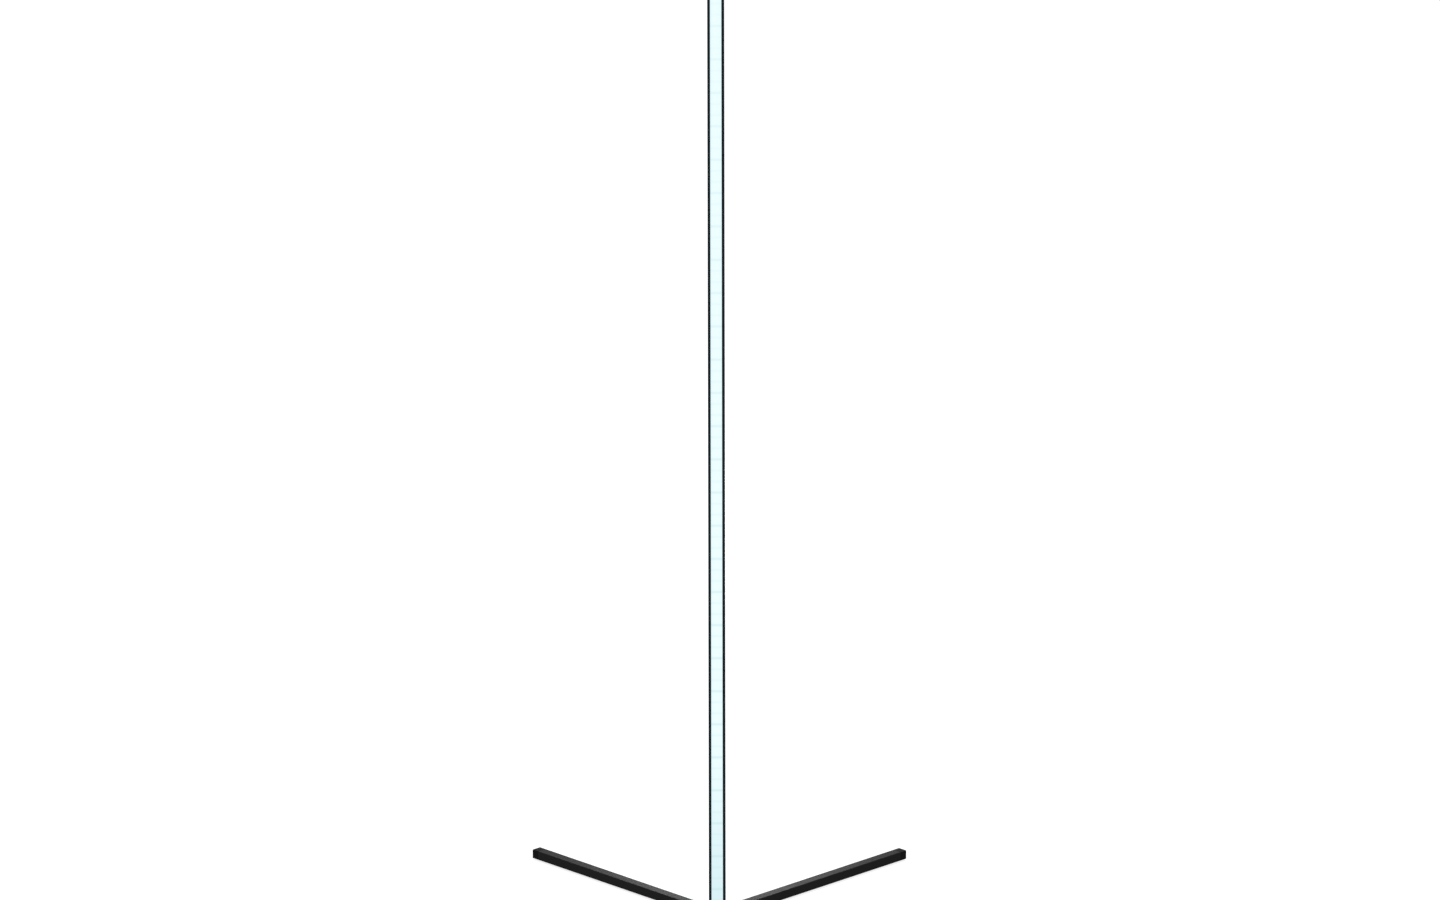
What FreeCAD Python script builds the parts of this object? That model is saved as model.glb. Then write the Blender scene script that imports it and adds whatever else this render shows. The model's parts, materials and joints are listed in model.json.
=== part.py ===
"""Corner floor lamp: a lit aluminium channel standing on a cast hub with two legs at a right angle.

Millimetres, +Z up. The origin is on the floor under the middle of the pole, the lit front faces -Y,
and the legs run back to the left and to the right, toward the walls of the corner.
"""
import FreeCAD, Part
import math
import os
import re
import Sketcher

# Driving sizes, in millimetres, degrees and counts.
SIZES = {
    # channel of the pole
    "pole_width": 24.0,
    "pole_depth": 20.0,
    "pole_wall": 1.5,
    "pole_corner": 0.8,
    "lip_reach": 3.9,
    "lip_wall": 1.5,
    "lip_chamfer": 0.4,
    "groove_depth": 1.6,
    "ledge_reach": 1.2,
    "ledge_wall": 1.0,
    "led_room": 2.9,
    "web_wall": 1.4,
    "rib_wall": 0.6,
    "rib_rise": 0.8,
    "section_length": 467.0,
    # screw ports along the channel
    "port_bore": 2.5,
    "port_wall": 1.2,
    "port_cover": 1.75,
    "port_slot": 1.1,
    # splice bars and their screws
    "splice_length": 120.0,
    "splice_side_gap": 0.25,
    "splice_play": 0.5,
    "splice_chamfer": 1.0,
    "splice_screw_reach": 30.0,
    # diffuser
    "diffuser_recess": 0.7,
    "diffuser_play": 0.2,
    "diffuser_corner": 0.4,
    # strip, its packages and resistors
    "strip_width": 10.0,
    "strip_wall": 0.3,
    "strip_side_gap": 0.3,
    "strip_end_gap": 0.3,
    "segment_length": 50.0,
    "leds_per_segment": 3,
    "chip_side": 5.0,
    "chip_rise": 1.6,
    "resistor_length": 3.2,
    "resistor_width": 1.6,
    "resistor_rise": 0.55,
    # top cap
    "top_cap_wall": 2.0,
    "top_cap_edge": 0.6,
    "top_spigot": 8.0,
    # hub
    "foot_height": 2.0,
    "hub_height": 20.0,
    "hub_margin": 3.0,
    "hub_tail": 9.0,
    "hub_corner": 4.0,
    "hub_edge": 1.5,
    "arm_reach": 28.0,
    "arm_root": 6.0,
    "leg_spigot": 30.0,
    "leg_spigot_gap": 0.2,
    "pole_spigot": 16.0,
    "room_wall": 3.0,
    "room_width": 15.2,
    "room_height": 14.8,
    "room_step": 7.4,
    "trench_width": 9.2,
    "trench_front": 2.0,
    "passage_width": 7.2,
    "passage_depth": 4.4,
    # hub cover and pad
    "cover_wall": 1.5,
    "cover_margin": 2.6,
    "cover_play": 0.2,
    "cover_screw_inset": 3.4,
    "tongue_width": 9.0,
    "tongue_reach": 1.4,
    "tongue_wall": 0.8,
    "pad_margin": 1.0,
    "pad_corner": 3.0,
    # legs, caps and feet
    "leg_angle": 45.0,
    "leg_reach": 373.0,
    "leg_width": 15.0,
    "leg_height": 13.0,
    "leg_wall": 1.5,
    "leg_corner": 0.6,
    "cap_length": 12.0,
    "cap_insert": 14.0,
    "cap_gap": 0.2,
    "cap_wall": 1.8,
    "cap_edge": 0.6,
    "leg_seam": 0.1,
    "foot_length": 20.0,
    "foot_width": 6.5,
    "foot_setback": 15.0,
    # screws
    "screw_gap": 0.2,
    "thread_gap": 0.15,
    "joint_screw": 4.0,
    "joint_screw_head": 7.0,
    "joint_screw_head_rise": 2.0,
    "joint_screw_length": 8.0,
    "leg_screw_inset": 14.0,
    "leg_screw_head_rise": 1.4,
    "port_screw": 2.2,
    "port_screw_head": 5.0,
    "port_screw_head_rise": 2.2,
    "pole_screw_grip": 18.0,
    "pole_screw_sink": 3.5,
    "cover_screw": 2.0,
    "cover_screw_head": 4.0,
    "cover_screw_length": 7.0,
    "thread_room": 2.0,
    # low voltage inlet
    "jack_height": 11.0,
    "jack_barrel": 7.8,
    "jack_gap": 0.1,
    "jack_flange": 10.0,
    "jack_flange_rise": 2.0,
    "jack_bore": 5.6,
    "jack_depth": 10.0,
    "jack_back": 2.5,
    "jack_pin": 2.1,
    "jack_pin_short": 1.5,
    "jack_collar": 0.3,
    "jack_tail": 2.6,
    "nut_width": 10.0,
    "nut_wall": 2.0,
    "spring_width": 1.8,
    "spring_wall": 0.3,
    "spring_gap": 0.1,
    "spring_short": 2.5,
    # leads
    "lead_radius": 0.75,
    "lead_gap": 0.1,
    "lead_stub": 1.1,
    "lead_climb": 2.0,
    "lead_spread": 1.9,
    "lead_rise": 3.6,
    "lead_drop": 1.2,
    "window_inset": 0.9,
    "window_margin": 1.05,
    "window_drop": 3.0,
    "window_rise": 1.5,
}

# The lengths of the channel from the hub up, and the splices between them.
SECTIONS = ("bottom_channel", "middle_channel", "top_channel")
JOINTS = ("lower_splice", "upper_splice")

# Places worked out from the driving sizes, as formulas for the sketches and features.
HALF_WIDTH = "pole_width / 2"
FRONT = "-pole_depth / 2"
BACK = "pole_depth / 2"
INSIDE = f"({HALF_WIDTH} - pole_wall)"
LIP = f"({HALF_WIDTH} - lip_reach)"
LEDGE = f"({INSIDE} - ledge_reach)"
GROOVE_FRONT = f"({FRONT} + lip_wall)"
GROOVE_BACK = f"({GROOVE_FRONT} + groove_depth)"
LEDGE_BACK = f"({GROOVE_BACK} + ledge_wall)"
WEB_FRONT = f"({LEDGE_BACK} + led_room)"
WEB_BACK = f"({WEB_FRONT} + web_wall)"
REAR_INSIDE = f"({BACK} - pole_wall)"
PORT_X = f"({HALF_WIDTH} - port_cover - port_bore / 2)"
PORT_Y = f"(({WEB_BACK} + {REAR_INSIDE}) / 2)"
PORT_RING = "(port_bore / 2 + port_wall)"
RIB_INSIDE = "(strip_width / 2 + strip_side_gap)"
RIB_OUTSIDE = f"({RIB_INSIDE} + rib_wall)"
BAR_HALF = f"({PORT_X} - {PORT_RING} - splice_side_gap)"
BAR_FRONT = f"({WEB_BACK} + splice_play)"
POLE_BASE = "(foot_height + hub_height)"
POLE_LENGTH = f"({len(SECTIONS)} * section_length)"
POLE_TOP = f"({POLE_BASE} + {POLE_LENGTH})"
LED_PITCH = "(segment_length / leds_per_segment)"
SEGMENTS = f"floor({POLE_LENGTH} / segment_length)"
STRIP_FRONT = f"({WEB_FRONT} - strip_wall)"
HUB_HALF = f"({HALF_WIDTH} + hub_margin)"
HUB_FRONT = f"({FRONT} - hub_margin)"
HUB_BACK = f"({BACK} + hub_tail)"
ROOM_BACK = f"({HUB_BACK} - room_wall)"
COVER_HALF = f"({HUB_HALF} - cover_margin)"
COVER_FRONT = f"({HUB_FRONT} + cover_margin)"
COVER_BACK = f"({HUB_BACK} - cover_margin)"
COVER_TOP = "(foot_height + cover_wall)"
COVER_SCREW_Y = f"({COVER_FRONT} + cover_screw_inset)"
LEG_END = "(leg_reach - cap_length)"
LEG_SCREW_PLACE = "(arm_reach + leg_screw_inset)"
FOOT_PLACE = f"({LEG_END} - foot_setback)"
JOINT_HOLE = "(joint_screw / 2 + screw_gap)"
JOINT_THREAD = "(joint_screw / 2 + thread_gap)"
SINK_DEPTH = "((cover_screw_head - cover_screw) / 2)"

doc = FreeCAD.newDocument("corner_floor_lamp")
sheet = doc.addObject("Spreadsheet::Sheet", "sizes")
for row, (alias, size) in enumerate(SIZES.items(), start=1):
    sheet.set(f"A{row}", alias)
    sheet.set(f"B{row}", str(size))
    sheet.setAlias(f"B{row}", alias)
doc.recompute()


def bound(formula):
    """A formula with each driving size's name turned into a reference to its cell."""
    return re.sub(r"[a-z_]+", lambda word: f"sizes.{word[0]}" if word[0] in SIZES else word[0], formula)


def value(formula):
    """What a formula comes to with the sizes in the sheet."""
    result = sheet.evalExpression(bound(formula))
    return float(getattr(result, "Value", result))


def bind(target, name, formula):
    """Tie one property of an object to a formula."""
    target.setExpression(name, bound(formula))


def new_body(label, at=("0", "0", "0"), turn=None):
    """A sub-part with its own label and placement; turn is an axis and a formula in degrees."""
    body = doc.addObject("PartDesign::Body", label)
    body.Label = label
    rotation = FreeCAD.Rotation()
    if turn:
        rotation = FreeCAD.Rotation(FreeCAD.Vector(*turn[0]), value(turn[1]))
    body.Placement = FreeCAD.Placement(FreeCAD.Vector(*(value(part) for part in at)), rotation)
    for axis, formula in zip("xyz", at):
        bind(body, f"Placement.Base.{axis}", formula)
    if turn:
        bind(body, "Placement.Rotation.Angle", turn[1])
    return body


def origin_feature(body, role):
    """The plane or axis of a body's own origin that has this role."""
    return next(item for item in body.Origin.OriginFeatures if item.Role == role)


def new_sketch(body, label, plane="XY_Plane", offset="0"):
    """A sketch on one of the body's origin planes, moved along the plane's normal by a formula."""
    sketch = body.newObject("Sketcher::SketchObject", f"{body.Label}_{label}_sketch")
    sketch.AttachmentSupport = (origin_feature(body, plane), [""])
    sketch.MapMode = "FlatFace"
    sketch.AttachmentOffset.Base.z = value(offset)
    bind(sketch, "AttachmentOffset.Base.z", offset)
    return sketch


def hold(sketch, geometry, point, x, y):
    """Hold a point of the sketch at two formulas measured from its origin."""
    for kind, axis, formula in (("DistanceX", -2, x), ("DistanceY", -1, y)):
        if formula == "0":
            sketch.addConstraint(Sketcher.Constraint("PointOnObject", geometry, point, axis))
        else:
            datum = Sketcher.Constraint(kind, -1, 1, geometry, point, value(formula))
            bind(sketch, f"Constraints[{sketch.addConstraint(datum)}]", formula)


def draw_outline(sketch, corners):
    """A closed outline of straight edges whose corners are pairs of formulas."""
    places = [FreeCAD.Vector(value(x), value(y), 0) for x, y in corners]
    first = sketch.GeometryCount
    count = len(corners)
    for here, there in zip(places, places[1:] + places[:1]):
        sketch.addGeometry(Part.LineSegment(here, there), False)
    for step in range(count):
        following = first + (step + 1) % count
        sketch.addConstraint(Sketcher.Constraint("Coincident", first + step, 2, following, 1))
    for step, (x, y) in enumerate(corners):
        hold(sketch, first + step, 1, x, y)


def draw_rectangle(sketch, left, bottom, right, top):
    """A rectangle between two pairs of formulas."""
    draw_outline(sketch, [(left, bottom), (right, bottom), (right, top), (left, top)])


def draw_rounded_rectangle(sketch, left, bottom, right, top, radius):
    """A rectangle between two pairs of formulas, with tangent arcs of one radius at its corners."""
    size = value(radius)
    centres = [
        (f"{left} + {radius}", f"{bottom} + {radius}"),
        (f"{right} - {radius}", f"{bottom} + {radius}"),
        (f"{right} - {radius}", f"{top} - {radius}"),
        (f"{left} + {radius}", f"{top} - {radius}"),
    ]
    places = [FreeCAD.Vector(value(x), value(y), 0) for x, y in centres]
    first = sketch.GeometryCount
    for number, centre in enumerate(places):
        begin = math.pi + number * math.pi / 2
        circle = Part.Circle(centre, FreeCAD.Vector(0, 0, 1), size)
        arc = Part.ArcOfCircle(circle, begin, begin + math.pi / 2)
        outward = FreeCAD.Vector(math.cos(begin + math.pi / 2), math.sin(begin + math.pi / 2), 0) * size
        following = places[(number + 1) % 4]
        sketch.addGeometry(arc, False)
        sketch.addGeometry(Part.LineSegment(centre + outward, following + outward), False)
    for number, (x, y) in enumerate(centres):
        arc = first + 2 * number
        following = first + 2 * ((number + 1) % 4)
        sketch.addConstraint(Sketcher.Constraint("Tangent", arc, 2, arc + 1, 1))
        sketch.addConstraint(Sketcher.Constraint("Tangent", arc + 1, 2, following, 1))
        hold(sketch, arc, 3, x, y)
        datum = Sketcher.Constraint("Radius", arc, size)
        bind(sketch, f"Constraints[{sketch.addConstraint(datum)}]", radius)


def draw_circle(sketch, x, y, radius):
    """A circle about a pair of formulas."""
    centre = FreeCAD.Vector(value(x), value(y), 0)
    circle = Part.Circle(centre, FreeCAD.Vector(0, 0, 1), value(radius))
    geometry = sketch.addGeometry(circle, False)
    hold(sketch, geometry, 3, x, y)
    datum = Sketcher.Constraint("Radius", geometry, value(radius))
    bind(sketch, f"Constraints[{sketch.addConstraint(datum)}]", radius)


def new_feature(body, kind, label):
    """A feature in a body, named after both."""
    return body.newObject(f"PartDesign::{kind}", f"{body.Label}_{label}")


def settle(feature, larger_than=None):
    """Recompute, and stop if the feature failed or, as a cut, took nothing away."""
    doc.recompute()
    if {"Invalid", "Error"} & set(feature.State) or feature.Shape.isNull():
        raise RuntimeError(f"{feature.Label} failed")
    if larger_than is not None and not feature.Shape.Volume < larger_than - 1e-6:
        raise RuntimeError(f"{feature.Label} cuts nothing")
    return feature


def pad(body, label, sketch, length, backward=False):
    """Raise a sketch along its normal, or the other way."""
    feature = new_feature(body, "Pad", label)
    feature.Profile = sketch
    feature.Reversed = backward
    bind(feature, "Length", length)
    return settle(feature)


def pocket(body, label, sketch, depth=None, along_normal=False):
    """Cut a sketch into the body, through all of it where no depth is given."""
    before = body.Tip.Shape.Volume
    feature = new_feature(body, "Pocket", label)
    feature.Profile = sketch
    feature.Reversed = along_normal
    if depth is None:
        feature.Type = "ThroughAll"
    else:
        bind(feature, "Length", depth)
    return settle(feature, before)


def revolve(body, label, sketch, x="0", cutting=False):
    """Turn a sketch about an upright line at x, to add material or, when cutting, to take it away."""
    before = body.Tip.Shape.Volume if cutting else None
    axis = sketch.addGeometry(Part.LineSegment(FreeCAD.Vector(0, 0, 0), FreeCAD.Vector(0, 1, 0)), True)
    hold(sketch, axis, 1, x, "0")
    hold(sketch, axis, 2, x, "1")
    feature = new_feature(body, "Groove" if cutting else "Revolution", label)
    feature.Profile = sketch
    feature.ReferenceAxis = (sketch, ["Axis0"])
    feature.Angle = 360
    return settle(feature, before)


def mirror(body, label, originals, plane="YZ_Plane"):
    """Repeat features on the other side of an origin plane."""
    feature = new_feature(body, "Mirrored", label)
    feature.Originals = originals
    feature.MirrorPlane = (origin_feature(body, plane), [""])
    body.Tip = feature
    return settle(feature)


def row(body, label, axis, count, spacing, backward=False):
    """A pattern along one of the body's axes."""
    feature = new_feature(body, "LinearPattern", label)
    feature.Direction = (origin_feature(body, axis), [""])
    feature.Mode = "Spacing"
    feature.Reversed = backward
    bind(feature, "Occurrences", count)
    bind(feature, "Offset", spacing)
    return feature


def fan(body, label, turn):
    """A pattern of two about the body's upright axis, a turn apart."""
    feature = new_feature(body, "PolarPattern", label)
    feature.Axis = (origin_feature(body, "Z_Axis"), [""])
    feature.Mode = "Spacing"
    feature.Occurrences = 2
    bind(feature, "Offset", turn)
    return feature


def repeat(body, label, originals, patterns):
    """Repeat features by one pattern after another; each pattern is a function and its arguments."""
    feature = new_feature(body, "MultiTransform", label)
    feature.Originals = originals
    feature.Transformations = [make(body, f"{label}_{make.__name__}_{number}", *arguments)
                               for number, (make, *arguments) in enumerate(patterns, start=1)]
    body.Tip = feature
    return settle(feature)


def edges_where(shape, test):
    """Names of the edges whose end points all pass a test."""
    named = enumerate(shape.Edges, start=1)
    return [f"Edge{number}" for number, edge in named if all(test(end.Point) for end in edge.Vertexes)]


def faces_where(shape, test):
    """Names of the faces whose corner points all pass a test."""
    named = enumerate(shape.Faces, start=1)
    return [f"Face{number}" for number, face in named if all(test(end.Point) for end in face.Vertexes)]


def near(place, formula):
    """Whether a coordinate is the one that a formula gives."""
    return abs(place - value(formula)) < 1e-4


def soften(body, kind, label, names, size):
    """Round (Fillet) or cut (Chamfer) named edges or faces of the body as it stands."""
    if not names:
        raise RuntimeError(f"{body.Label} has no edges for {label}")
    base = body.Tip
    feature = new_feature(body, kind, label)
    feature.Base = (base, names)
    bind(feature, "Radius" if kind == "Fillet" else "Size", size)
    return settle(feature)


def long_edges(shape, x, y):
    """Upright edges of a prism at plus or minus x and at y."""
    return edges_where(shape, lambda point: near(abs(point.x), x) and near(point.y, y))


# ---------------------------------------------------------------- channel of the pole
def channel_profile(sketch):
    """Section of the channel: lips, diffuser groove, ledge, web with strip guides, rear chamber."""
    right = [
        (LIP, FRONT),
        (HALF_WIDTH, FRONT),
        (HALF_WIDTH, BACK),
    ]
    inner = [
        (RIB_INSIDE, WEB_FRONT),
        (RIB_INSIDE, f"{WEB_FRONT} - rib_rise"),
        (RIB_OUTSIDE, f"{WEB_FRONT} - rib_rise"),
        (RIB_OUTSIDE, WEB_FRONT),
        (INSIDE, WEB_FRONT),
        (INSIDE, LEDGE_BACK),
        (LEDGE, LEDGE_BACK),
        (LEDGE, GROOVE_BACK),
        (INSIDE, GROOVE_BACK),
        (INSIDE, GROOVE_FRONT),
        (LIP, GROOVE_FRONT),
    ]
    left = [(f"-{x}", y) for x, y in reversed(right)]
    inner_left = [(f"-{x}", y) for x, y in reversed(inner)]
    draw_outline(sketch, right + left + inner_left + inner)
    draw_rectangle(sketch, f"-{INSIDE}", WEB_BACK, INSIDE, REAR_INSIDE)


def channel_section(label, number):
    """One length of the channel, counted from the hub, with a screw hole beside each joint."""
    body = new_body(label, at=("0", "0", f"{POLE_BASE} + {number} * section_length"))
    profile = new_sketch(body, "profile")
    channel_profile(profile)
    pad(body, "extrusion", profile, "section_length")
    rings = new_sketch(body, "port_rings")
    bores = new_sketch(body, "port_bores")
    slots = new_sketch(body, "port_slots")
    for side in ("-", ""):
        draw_circle(rings, f"{side}{PORT_X}", PORT_Y, PORT_RING)
        draw_circle(bores, f"{side}{PORT_X}", PORT_Y, "port_bore / 2")
    slot_low = f"{PORT_Y} - port_slot / 2"
    slot_high = f"{PORT_Y} + port_slot / 2"
    draw_rectangle(slots, f"-{PORT_X}", slot_low, f"-{BAR_HALF}", slot_high)
    draw_rectangle(slots, BAR_HALF, slot_low, PORT_X, slot_high)
    pad(body, "ports", rings, "section_length")
    pocket(body, "bores", bores, "section_length", along_normal=True)
    pocket(body, "slots", slots, "section_length", along_normal=True)
    outside = long_edges(body.Tip.Shape, HALF_WIDTH, FRONT)
    outside += long_edges(body.Tip.Shape, HALF_WIDTH, BACK)
    soften(body, "Fillet", "corners", outside, "pole_corner")
    soften(body, "Chamfer", "lips", long_edges(body.Tip.Shape, LIP, FRONT), "lip_chamfer")
    holes = new_sketch(body, "screw_holes", "XZ_Plane", f"-{BACK}")
    if number > 0:
        draw_circle(holes, "0", "splice_screw_reach", JOINT_HOLE)
    if number < len(JOINTS):
        draw_circle(holes, "0", "section_length - splice_screw_reach", JOINT_HOLE)
    pocket(body, "screw_holes", holes, "pole_wall + screw_gap", along_normal=True)
    return body


def lead_windows(body):
    """Two windows through the web, beside the strip, that pass the leads to its front."""
    windows = new_sketch(body, "lead_windows", "XZ_Plane", f"-{WEB_BACK}")
    low = f"{LEAD_CROSSING} - {POLE_BASE} - window_drop"
    high = f"{LEAD_CROSSING} - {POLE_BASE} + window_rise"
    near_side = "strip_width / 2 - window_inset"
    far_side = f"{LEAD_SIDE} + window_margin"
    draw_rectangle(windows, f"-({far_side})", low, f"-({near_side})", high)
    draw_rectangle(windows, near_side, low, far_side, high)
    pocket(body, "lead_windows", windows, "web_wall + rib_rise", along_normal=True)


# ---------------------------------------------------------------- screws
def raised_head(shank, length, head, rise):
    """Half outline of a screw whose head stands on z = 0."""
    return [
        ("0", rise),
        (f"{head} / 2", rise),
        (f"{head} / 2", "0"),
        (f"{shank} / 2", "0"),
        (f"{shank} / 2", f"-{length}"),
        ("0", f"-{length}"),
    ]


def sunk_head(shank, length, head):
    """Half outline of a screw whose head lies flush with z = 0."""
    return [
        ("0", "0"),
        (f"{head} / 2", "0"),
        (f"{shank} / 2", f"-({head} - {shank}) / 2"),
        (f"{shank} / 2", f"-{length}"),
        ("0", f"-{length}"),
    ]


def turned_screw(body, outline, x="0"):
    """A screw turned about an upright line at x from its half outline; its head points up."""
    half = new_sketch(body, "half_outline", "XZ_Plane")
    draw_outline(half, [(x if across == "0" else f"{x} + {across}", rise) for across, rise in outline])
    return revolve(body, "turned", half, x)


def joint_screw(rise):
    """Half outline of a button-headed screw of the joints, whose head rises by a formula."""
    return raised_head("joint_screw", "joint_screw_length", "joint_screw_head", rise)


FACING_BACK = ((1, 0, 0), "-90")
FACING_DOWN = ((1, 0, 0), "180")


def splice_screws():
    """Screws through the back wall into the splice bars, one on each side of every joint."""
    first = f"{POLE_BASE} + section_length - splice_screw_reach"
    body = new_body("splice_screws", ("0", BACK, first), FACING_BACK)
    screw = turned_screw(body, joint_screw("joint_screw_head_rise"))
    over_a_joint = (row, "Y_Axis", "2", "2 * splice_screw_reach", True)
    from_joint_to_joint = (row, "Y_Axis", f"{len(JOINTS)}", "section_length", True)
    repeat(body, "rows", [screw], [over_a_joint, from_joint_to_joint])
    return body


def splice_bar(label, joint):
    """A bar in the rear chamber that joins two lengths of the channel."""
    body = new_body(label, at=("0", "0", f"{POLE_BASE} + {joint} * section_length - splice_length / 2"))
    section = new_sketch(body, "section")
    draw_rectangle(section, f"-{BAR_HALF}", BAR_FRONT, BAR_HALF, REAR_INSIDE)
    pad(body, "bar", section, "splice_length")

    def at_end(point):
        return near(point.z, "0") or near(point.z, "splice_length")

    ends = faces_where(body.Tip.Shape, at_end)
    ends = [name for name in ends if abs(body.Tip.Shape.getElement(name).normalAt(0, 0).z) > 0.9]
    soften(body, "Chamfer", "lead_in", ends, "splice_chamfer")
    holes = new_sketch(body, "threads", "XZ_Plane", f"-{REAR_INSIDE}")
    draw_circle(holes, "0", "splice_length / 2 - splice_screw_reach", JOINT_THREAD)
    draw_circle(holes, "0", "splice_length / 2 + splice_screw_reach", JOINT_THREAD)
    pocket(body, "threads", holes, along_normal=True)
    return body


# ---------------------------------------------------------------- light
def diffuser():
    """A milky strip that slides in the groove and stands forward between the lips."""
    body = new_body("diffuser", at=("0", "0", POLE_BASE))
    edge = f"({INSIDE} - diffuser_play)"
    crown = f"({LIP} - diffuser_play)"
    face = f"{FRONT} + diffuser_recess"
    shoulder = f"{GROOVE_FRONT} + diffuser_play"
    rear = f"{GROOVE_BACK} - diffuser_play"
    half = [(crown, face), (crown, shoulder), (edge, shoulder), (edge, rear)]
    profile = new_sketch(body, "profile")
    draw_outline(profile, half + [(f"-{x}", y) for x, y in reversed(half)])
    pad(body, "extrusion", profile, POLE_LENGTH)
    soften(body, "Fillet", "crown", long_edges(body.Tip.Shape, crown, face), "diffuser_corner")
    return body


def led_strip():
    """The flexible board, stuck to the web between its guide ribs."""
    body = new_body("led_strip", at=("0", "0", f"{POLE_BASE} + strip_end_gap"))
    section = new_sketch(body, "section")
    draw_rectangle(section, "-strip_width / 2", STRIP_FRONT, "strip_width / 2", WEB_FRONT)
    pad(body, "board", section, f"{POLE_LENGTH} - 2 * strip_end_gap")
    return body


def led_chips():
    """Square packages along the strip, evenly spaced from the hub to the last whole segment."""
    body = new_body("led_chips", at=("0", STRIP_FRONT, f"{POLE_BASE} + {LED_PITCH} / 2"))
    section = new_sketch(body, "section", "XZ_Plane")
    draw_rectangle(section, "-chip_side / 2", "-chip_side / 2", "chip_side / 2", "chip_side / 2")
    chip = pad(body, "package", section, "chip_rise")
    repeat(body, "row", [chip], [(row, "Z_Axis", f"{SEGMENTS} * leds_per_segment", LED_PITCH)])
    return body


def strip_resistors():
    """One resistor in each segment, between its first two packages."""
    body = new_body("strip_resistors", at=("0", STRIP_FRONT, f"{POLE_BASE} + {LED_PITCH}"))
    section = new_sketch(body, "section", "XZ_Plane")
    across = "resistor_width / 2"
    along = "resistor_length / 2"
    draw_rectangle(section, f"-{across}", f"-{along}", across, along)
    block = pad(body, "block", section, "resistor_rise")
    repeat(body, "row", [block], [(row, "Z_Axis", SEGMENTS, "segment_length")])
    return body


# ---------------------------------------------------------------- top cap
def top_cap():
    """The moulded plate that closes the pole, with a hollow spigot pushed into the rear chamber."""
    body = new_body("top_cap", at=("0", "0", POLE_TOP))
    plate = new_sketch(body, "plate")
    draw_rounded_rectangle(plate, f"-{HALF_WIDTH}", FRONT, HALF_WIDTH, BACK, "pole_corner")
    pad(body, "plate", plate, "top_cap_wall")
    top = faces_where(body.Tip.Shape, lambda point: near(point.z, "top_cap_wall"))
    soften(body, "Chamfer", "rim", top, "top_cap_edge")
    spigot = new_sketch(body, "spigot")
    spigot_back = f"{REAR_INSIDE} - splice_side_gap"
    draw_rectangle(spigot, f"-{BAR_HALF}", BAR_FRONT, BAR_HALF, spigot_back)
    pad(body, "spigot", spigot, "top_spigot", backward=True)
    hollow = new_sketch(body, "hollow", offset="-top_spigot")
    inner = f"({BAR_HALF} - pole_wall)"
    draw_rectangle(hollow, f"-{inner}", f"{BAR_FRONT} + pole_wall", inner, f"{spigot_back} - pole_wall")
    pocket(body, "hollow", hollow, "top_spigot", along_normal=True)
    return body


# ---------------------------------------------------------------- hub
def along_leg(distance, aside):
    """A point of the right leg's plan, by its distance from the middle and to its outer side."""
    x = f"({distance}) * sin(leg_angle) + ({aside}) * cos(leg_angle)"
    y = f"({distance}) * cos(leg_angle) - ({aside}) * sin(leg_angle)"
    return x, y


def sketch_across_leg(body, label, distance):
    """A sketch that stands square across the right leg's line, at a distance from the middle."""
    sketch = new_sketch(body, label, "YZ_Plane")
    turn = "90 - leg_angle"
    place = FreeCAD.Vector(value(f"({distance}) * sin({turn})"), 0, value(f"({distance}) * cos({turn})"))
    rotation = FreeCAD.Rotation(FreeCAD.Vector(0, 1, 0), value(turn))
    sketch.AttachmentOffset = FreeCAD.Placement(place, rotation)
    bind(sketch, "AttachmentOffset.Base.x", f"({distance}) * sin({turn})")
    bind(sketch, "AttachmentOffset.Base.z", f"({distance}) * cos({turn})")
    bind(sketch, "AttachmentOffset.Rotation.Angle", turn)
    return sketch


def hub():
    """The cast hub: a block under the pole, two arms with spigots, and a wiring room open below."""
    body = new_body("hub", at=("0", "0", "foot_height"))
    block = new_sketch(body, "block")
    draw_rounded_rectangle(block, f"-{HUB_HALF}", HUB_FRONT, HUB_HALF, HUB_BACK, "hub_corner")
    pad(body, "block", block, "hub_height")
    top = faces_where(body.Tip.Shape, lambda point: near(point.z, "hub_height"))
    soften(body, "Chamfer", "rim", top, "hub_edge")
    arm = sketch_across_leg(body, "arm", "arm_root")
    draw_rounded_rectangle(arm, "-leg_width / 2", "0", "leg_width / 2", "leg_height", "leg_corner")
    arm_pad = pad(body, "arm", arm, "arm_reach - arm_root")
    spigot = sketch_across_leg(body, "leg_spigot", "arm_root")
    seat = "(leg_wall + leg_spigot_gap)"
    half = f"(leg_width / 2 - {seat})"
    draw_rectangle(spigot, f"-{half}", seat, half, f"leg_height - {seat}")
    spigot_pad = pad(body, "leg_spigot", spigot, "arm_reach + leg_spigot - arm_root")
    mirror(body, "other_side", [arm_pad, spigot_pad])
    column = new_sketch(body, "pole_spigot", offset="hub_height")
    draw_rectangle(column, f"-{BAR_HALF}", BAR_FRONT, BAR_HALF, f"{REAR_INSIDE} - splice_side_gap")
    pad(body, "pole_spigot", column, "pole_spigot")
    hub_room(body)
    hub_holes(body)
    return body


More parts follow.
